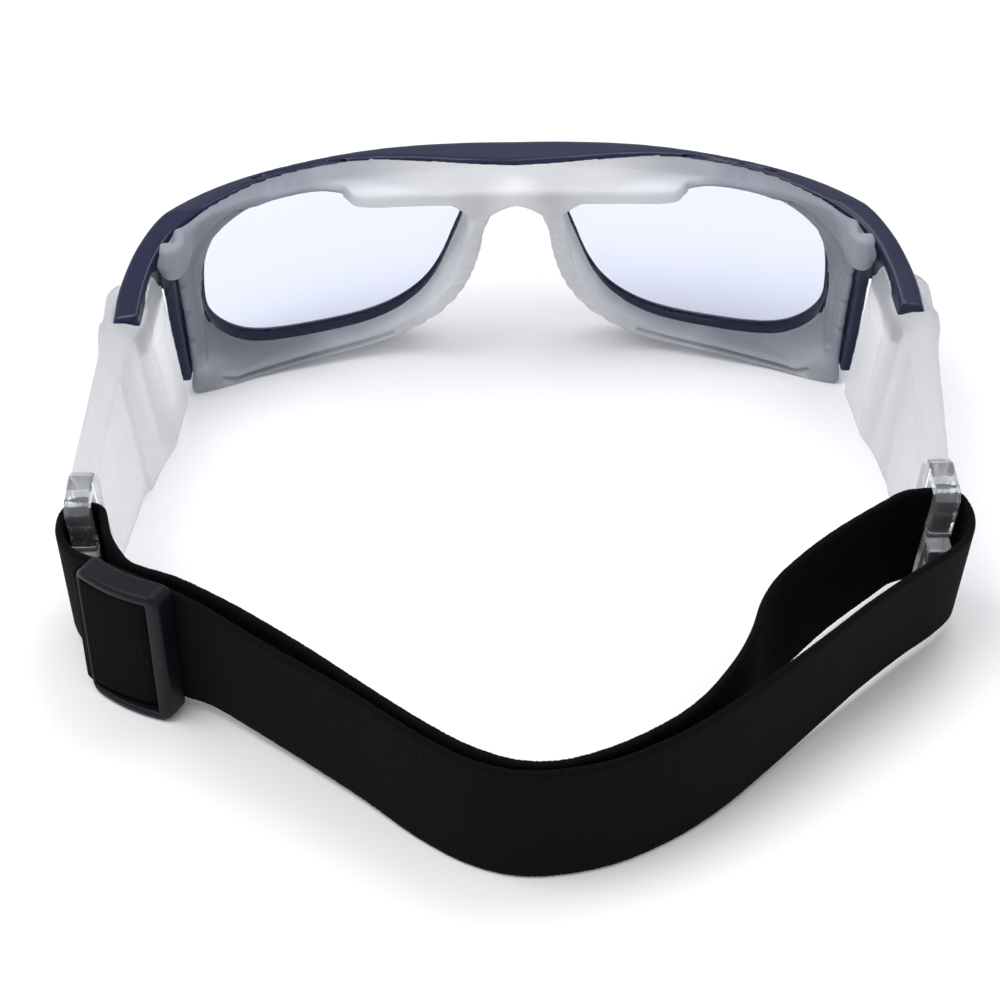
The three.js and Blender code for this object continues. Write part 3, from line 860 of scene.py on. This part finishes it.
def build_temple(side, drift, material, mirror):
    low, high, step = (63, -60, -1), (83, 0, 38), 0.32
    x, y, z = grid(low, high, step)
    points, quads = net(temple_field(x, y, z, drift), low, step, 2)
    piece = make_mesh(f"silicone_temple_{side}", points, quads, material, mirror)
    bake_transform(piece)
    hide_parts(f"temple_sleeve_{side}", f"temple_{side}")


# Clear strap clips -------------------------------------------------------------------------------------


CLIP_FRONT_Y = SLAB_REAR_Y - 0.3
CLIP_SIDE = np.array([
    (0, 1), (0, 29), (-2, 30), (-9, 30), (-11.3, 28.4), (-11.3, 18.5), (-8.2, 18.5),
    (-8.2, SLOT_HIGH), (-4.4, SLOT_HIGH), (-4.4, SLOT_LOW), (-8.2, SLOT_LOW), (-8.2, 18),
    (-14.2, 18), (-14.2, 12), (-13.2, 8.6), (-12.4, 4), (-10, 0.2), (-2, 0.2),
]) + (CLIP_FRONT_Y, 0)
CLIP_STEP_BACK = 11.4
CLIP_STEP_Z = 25.6
CLIP_STEP_RADIUS = 0.4


def clip_field(x, y, z, middle):
    """A flat clip: the outline of its side, with a slot for the strap, as thick as the clip is."""
    upright = x - CLIP_SLOPE * (z - REAR_MIDDLE_Z)
    across = np.abs(upright - middle) - CLIP_THICKNESS / 2
    level = y + rear_shear(z)
    field = meet(outline_distance(CLIP_SIDE, level, z), across, 0.35)
    # Shallow step across the rear face, under the top block
    behind = CLIP_FRONT_Y - level
    return cut(field, np.hypot(behind - CLIP_STEP_BACK, z - CLIP_STEP_Z) - CLIP_STEP_RADIUS, 0.15)


def build_clip(side, drift, material, mirror):
    middle = float(temple_middle(np.array(float(SLAB_REAR_Y)), drift)) - CLIP_LEAN / 2
    low, high, step = (middle - 4.5, -73, -1), (middle + 4.5, -52.5, 31.5), 0.25
    x, y, z = grid(low, high, step)
    points, quads = net(clip_field(x, y, z, middle), low, step, 1)
    piece = make_mesh(f"clear_clip_{side}", points, quads, material, mirror)
    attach(piece, f"temple_{side}")
    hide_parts(f"strap_clip_{side}")


# Strap and slider --------------------------------------------------------------------------------------


def at_slider(along, out):
    """Plan point at a distance along the slider and a distance out of its outer face."""
    x, y = SLIDER_PLACE
    return (
        x + along * math.cos(SLIDER_TURN) + out * math.sin(SLIDER_TURN),
        y + along * math.sin(SLIDER_TURN) - out * math.cos(SLIDER_TURN),
    )


def strap_lift(y):
    """How high the strap's lower edge is above the table: it rises to the clips."""
    return np.interp(y, [-120, -92], [0, 2.1])


RIBBON_SPACING = 0.33
EDGE_HEIGHTS = np.array([0, 0.25, 0.7])
EDGE_BAND = 1.4
EDGE_ROUND = 0.8
FACE_ROWS = 22
TOOTH_HEIGHT = 0.16
TOOTH_BAND = 1
TABLE_GAP = 0.02

# Routes are plan points with how far the strap's top edge leans to the rear of its lower edge. The left and
# the right route run from the strap's middle, round a clip and back to the middle; their first and last
# points only set the direction in which the two halves meet.
LEFT_ROUTE = [
    (12, -125.2, 0), (3, -127.8, 0), (-4.5, -127.7, 0), (-11.8, -125, 0), (-19.6, -119.5, 0),
    (-29, -111.4, 0.6), (-38, -104.3, 1.2), (-47, -97.4, 1.6), (*at_slider(13.2, -2.8), 1),
    (*at_slider(8.6, -2.8), 0), (*at_slider(0, -2.9), 0), (*at_slider(-8.6, -3), 0.6), (-78.6, -75.8, 2),
    (-81.2, -71.4, 3.4), (-81.8, -67.6, 4), (-81.3, -64.2, 4), (-79.4, -62.6, 4), (-76.6, -62.6, 4),
    (-74.9, -63.8, 4), (-74.1, -67.4, 3.6), (-73, -71.6, 2.6), (-71, -76.4, 1.2), (-68.6, -80, 0.4),
    (-60.5, -84, 0.4), (-53.5, -88.4, 1), (-46, -94, 1.2), (-38, -100.4, 1), (-30.5, -107, 0.6),
    (-24, -112.8, 0), (-17.5, -118, 0), (-10.5, -122.8, 0), (-3.8, -125.6, 0), (3, -125.9, 0),
    (11, -123.4, 0),
]
RIGHT_ROUTE = [
    (-4.5, -127.7, 0), (3, -127.8, 0), (12, -125.8, 0), (21, -121.4, 0), (30, -115.3, 0.4),
    (39, -107.6, 1.6), (49, -98.4, 3), (58, -90, 4), (66, -83, 4.6), (72, -78.2, 5), (75.8, -74, 5.2),
    (77.2, -69.6, 5), (77, -65.8, 4.6), (75.8, -63.4, 4), (73.6, -62.6, 4), (70, -62.6, 3.6),
    (66.4, -63.6, 3), (63, -66.2, 2.4), (53, -74.6, 1), (46, -81.8, 0), (41.6, -87, 0), (38.8, -92.2, 0),
    (36.8, -97.8, 0), (34.4, -102.8, 0), (31.4, -107.4, 0), (27.8, -112, 0), (23.8, -115.8, 0),
    (19.5, -118.8, 0), (11, -123.4, 0), (3, -125.9, 0), (-3.8, -125.6, 0),
]
HUMP_ROUTE = [
    (*at_slider(6.3, -0.9), 0), (*at_slider(5.7, 0.2), 0), (*at_slider(4.6, 1.2), 0),
    (*at_slider(2.4, 1.9), 0), (*at_slider(0, 2.1), 0), (*at_slider(-3.6, 2.2), 0), (*at_slider(-7, 2), 0),
    (*at_slider(-9.2, 1.5), 0), (*at_slider(-9.9, 0.2), 0), (*at_slider(-9.6, -1.6), 0),
]


def even_points(route, spacing, trimmed):
    """Evenly spaced plan points of a route, their lean and their distance along it."""
    steps = 24
    curve = smooth_curve(route, steps=steps)
    if trimmed:
        curve = curve[steps:-steps]
    lengths = np.concatenate([[0], np.cumsum(np.linalg.norm(np.diff(curve[:, :2], axis=0), axis=1))])
    along = np.linspace(0, lengths[-1], int(lengths[-1] / spacing) + 1)
    x, y, lean = (np.interp(along, lengths, curve[:, k]) for k in range(3))
    return np.stack([x, y], 1), lean, along


def ribbon_section():
    """Half of the ribbon's section in (thickness, height), from its lower to its upper edge."""
    face = np.linspace(EDGE_BAND, STRAP_WIDTH - EDGE_BAND, FACE_ROWS)
    heights = np.concatenate([EDGE_HEIGHTS, face, STRAP_WIDTH - EDGE_HEIGHTS[::-1]])
    from_edge = np.minimum(heights, STRAP_WIDTH - heights)
    rounded = 1 - (1 - np.minimum(from_edge / EDGE_ROUND, 1)) ** 2
    thickness = STRAP_THICKNESS / 2 * np.sqrt(np.clip(rounded, 0.12, 1))
    return thickness, heights


def ribbon_points(line, lean, along):
    """One ring of the ribbon's section at each plan point, and the heights on a ring."""
    tangent = np.gradient(line, axis=0)
    tangent /= np.linalg.norm(tangent, axis=1)[:, None]
    normal = np.stack([-tangent[:, 1], tangent[:, 0]], 1)
    thickness, heights = ribbon_section()
    offset = np.concatenate([thickness, -thickness[::-1]])
    height = np.concatenate([heights, heights[::-1]])
    above = height - STRAP_WIDTH / 2
    edge = np.clip(np.abs(above) - STRAP_WIDTH / 2 + TOOTH_BAND, 0, 1) * np.sign(above)
    tooth = np.abs(TOOTH_HEIGHT * np.sin(2 * math.pi * along) * (1 + 0.4 * np.sin(1.9 * along)))
    points = np.zeros((len(line), len(offset), 3))
    points[..., :2] = line[:, None] + normal[:, None] * offset[None, :, None]
    points[..., 1] -= lean[:, None] * (height / STRAP_WIDTH - 0.5)[None]
    points[..., 2] = height[None] + strap_lift(line[:, 1])[:, None] - tooth[:, None] * edge[None]
    points[..., 2] = np.maximum(points[..., 2], TABLE_GAP)
    return points, height


def ribbon_faces(rows, count):
    """Faces from ring to ring, then a cap on each end; also how many of them are caps."""
    faces = []
    for row in range(rows - 1):
        here = row * count + np.arange(count)
        there = here + count
        faces.append(np.stack([here, there, np.roll(there, -1), np.roll(here, -1)], 1))
    cap = np.array([(k, k + 1, count - 2 - k, count - 1 - k) for k in range(count // 2 - 1)])
    faces.append(cap)
    faces.append((rows - 1) * count + cap[:, ::-1])
    return np.concatenate(faces), 2 * len(cap)


def build_ribbon(name, route, material, trimmed=False):
    """A length of elastic on edge, with the small teeth that its knitted edges have, and its length."""
    line, lean, along = even_points(route, RIBBON_SPACING, trimmed)
    points, height = ribbon_points(line, lean, along)
    count = len(height)
    faces, caps = ribbon_faces(len(line), count)
    piece = make_mesh(name, points.reshape(-1, 3), faces, material)
    smooth = np.ones(len(faces), bool)
    smooth[-caps:] = False
    piece.data.polygons.foreach_set("use_smooth", smooth)
    uv = piece.data.uv_layers.new(name="weave")
    flat = np.stack([np.repeat(along, count), np.tile(height, len(line))], 1)
    uv.data.foreach_set("uv", flat[faces.ravel()].astype(np.float32).ravel())
    return piece, float(along[-1]) / 1000


def add_strap(material):
    """The strap's two halves, which meet in the middle, and the short length over the slider."""
    left, length = build_ribbon("elastic_strap_left", LEFT_ROUTE, material, trimmed=True)
    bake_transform(left)
    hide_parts("strap_left_loop", "strap_outer_run")
    right, length = build_ribbon("elastic_strap_right", RIGHT_ROUTE, material, trimmed=True)
    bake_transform(right)
    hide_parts("strap_right_loop", "strap_inner_run")
    hump, length = build_ribbon("elastic_over_slider", HUMP_ROUTE, material)
    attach(hump, "slider")


SLIDER_CORNER = 2.4
SLIDER_BOW = 1.2
SLIDER_OUTSET = 1.3
SLIDER_HALF_DEPTH = 2.5
WINDOW_ENDS = (-7.5, 6.2)
BAR_OUTSET = -0.1
BAR_HALF_LENGTH = 1.2
BAR_HALF_DEPTH = 0.8
BAR_HALF_HEIGHT = 13.4


def slider_field(x, y, z):
    """A bowed plate with a window, and a bar across the window's middle that the strap goes over."""
    dx = x - SLIDER_PLACE[0]
    dy = y - SLIDER_PLACE[1]
    along = dx * math.cos(SLIDER_TURN) + dy * math.sin(SLIDER_TURN)
    out = dx * math.sin(SLIDER_TURN) - dy * math.cos(SLIDER_TURN)
    above = np.abs(z - SLIDER_HEIGHT / 2)
    half = np.abs(along) - SLIDER_HALF_LENGTH + SLIDER_CORNER
    tall = above - SLIDER_HEIGHT / 2 + SLIDER_CORNER
    corner = np.hypot(np.maximum(half, 0), np.maximum(tall, 0))
    plate = corner + np.minimum(np.maximum(half, tall), 0) - SLIDER_CORNER
    bowed = out + SLIDER_BOW * (along / SLIDER_HALF_LENGTH) ** 2 - SLIDER_OUTSET
    field = meet(plate, np.abs(bowed) - SLIDER_HALF_DEPTH, 0.9)
    window = np.maximum(between(along, *WINDOW_ENDS), between(z, SLOT_LOW, SLOT_HIGH))
    bar = np.maximum(np.abs(along) - BAR_HALF_LENGTH, np.abs(out - BAR_OUTSET) - BAR_HALF_DEPTH)
    bar = np.maximum(bar, above - BAR_HALF_HEIGHT)
    return join(cut(field, window, 0.5), bar, 0.3)


def build_slider(material):
    low, high, step = (-79.5, -94, -1), (-58, -78, 30.5), 0.25
    x, y, z = grid(low, high, step)
    points, quads = net(slider_field(x, y, z), low, step, 2)
    piece = make_mesh("strap_slider_body", points, quads, material)
    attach(piece, "slider")
    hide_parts("strap_slider")


# Floor and assembly ------------------------------------------------------------------------------------


def build_floor(material):
    """A large flat table top, in metres."""
    mesh = bpy.data.meshes.new("table_top")
    half = 1.6
    corners = [(-half, -half, 0), (half, -half, 0), (half, half, 0), (-half, half, 0)]
    mesh.from_pydata(corners, [], [(0, 1, 2, 3)])
    mesh.materials.append(material)
    floor = bpy.data.objects.new("table_top", mesh)
    bpy.context.scene.collection.objects.link(floor)


add_camera()
add_studio()
build_floor(floor_material())
navy = navy_material()
silicone = silicone_material("frosted_silicone")
lens = lens_material()
clear = clear_material()
build_front_frame(navy)
build_lens("clear_lens_right", "lens_right", lens, False)
build_lens("clear_lens_left", "lens_left", lens, True)
# The gasket's silicone carries painted shade where the navy frame lies behind it
build_gasket(silicone_material("gasket_silicone_painted_shade", backed_and_shaded=True))
build_temple("right", RIGHT_DRIFT, silicone, False)
build_temple("left", LEFT_DRIFT, silicone, True)
build_clip("right", RIGHT_DRIFT, clear, False)
build_clip("left", LEFT_DRIFT, clear, True)
build_slider(dark_plastic_material())
add_strap(elastic_material())
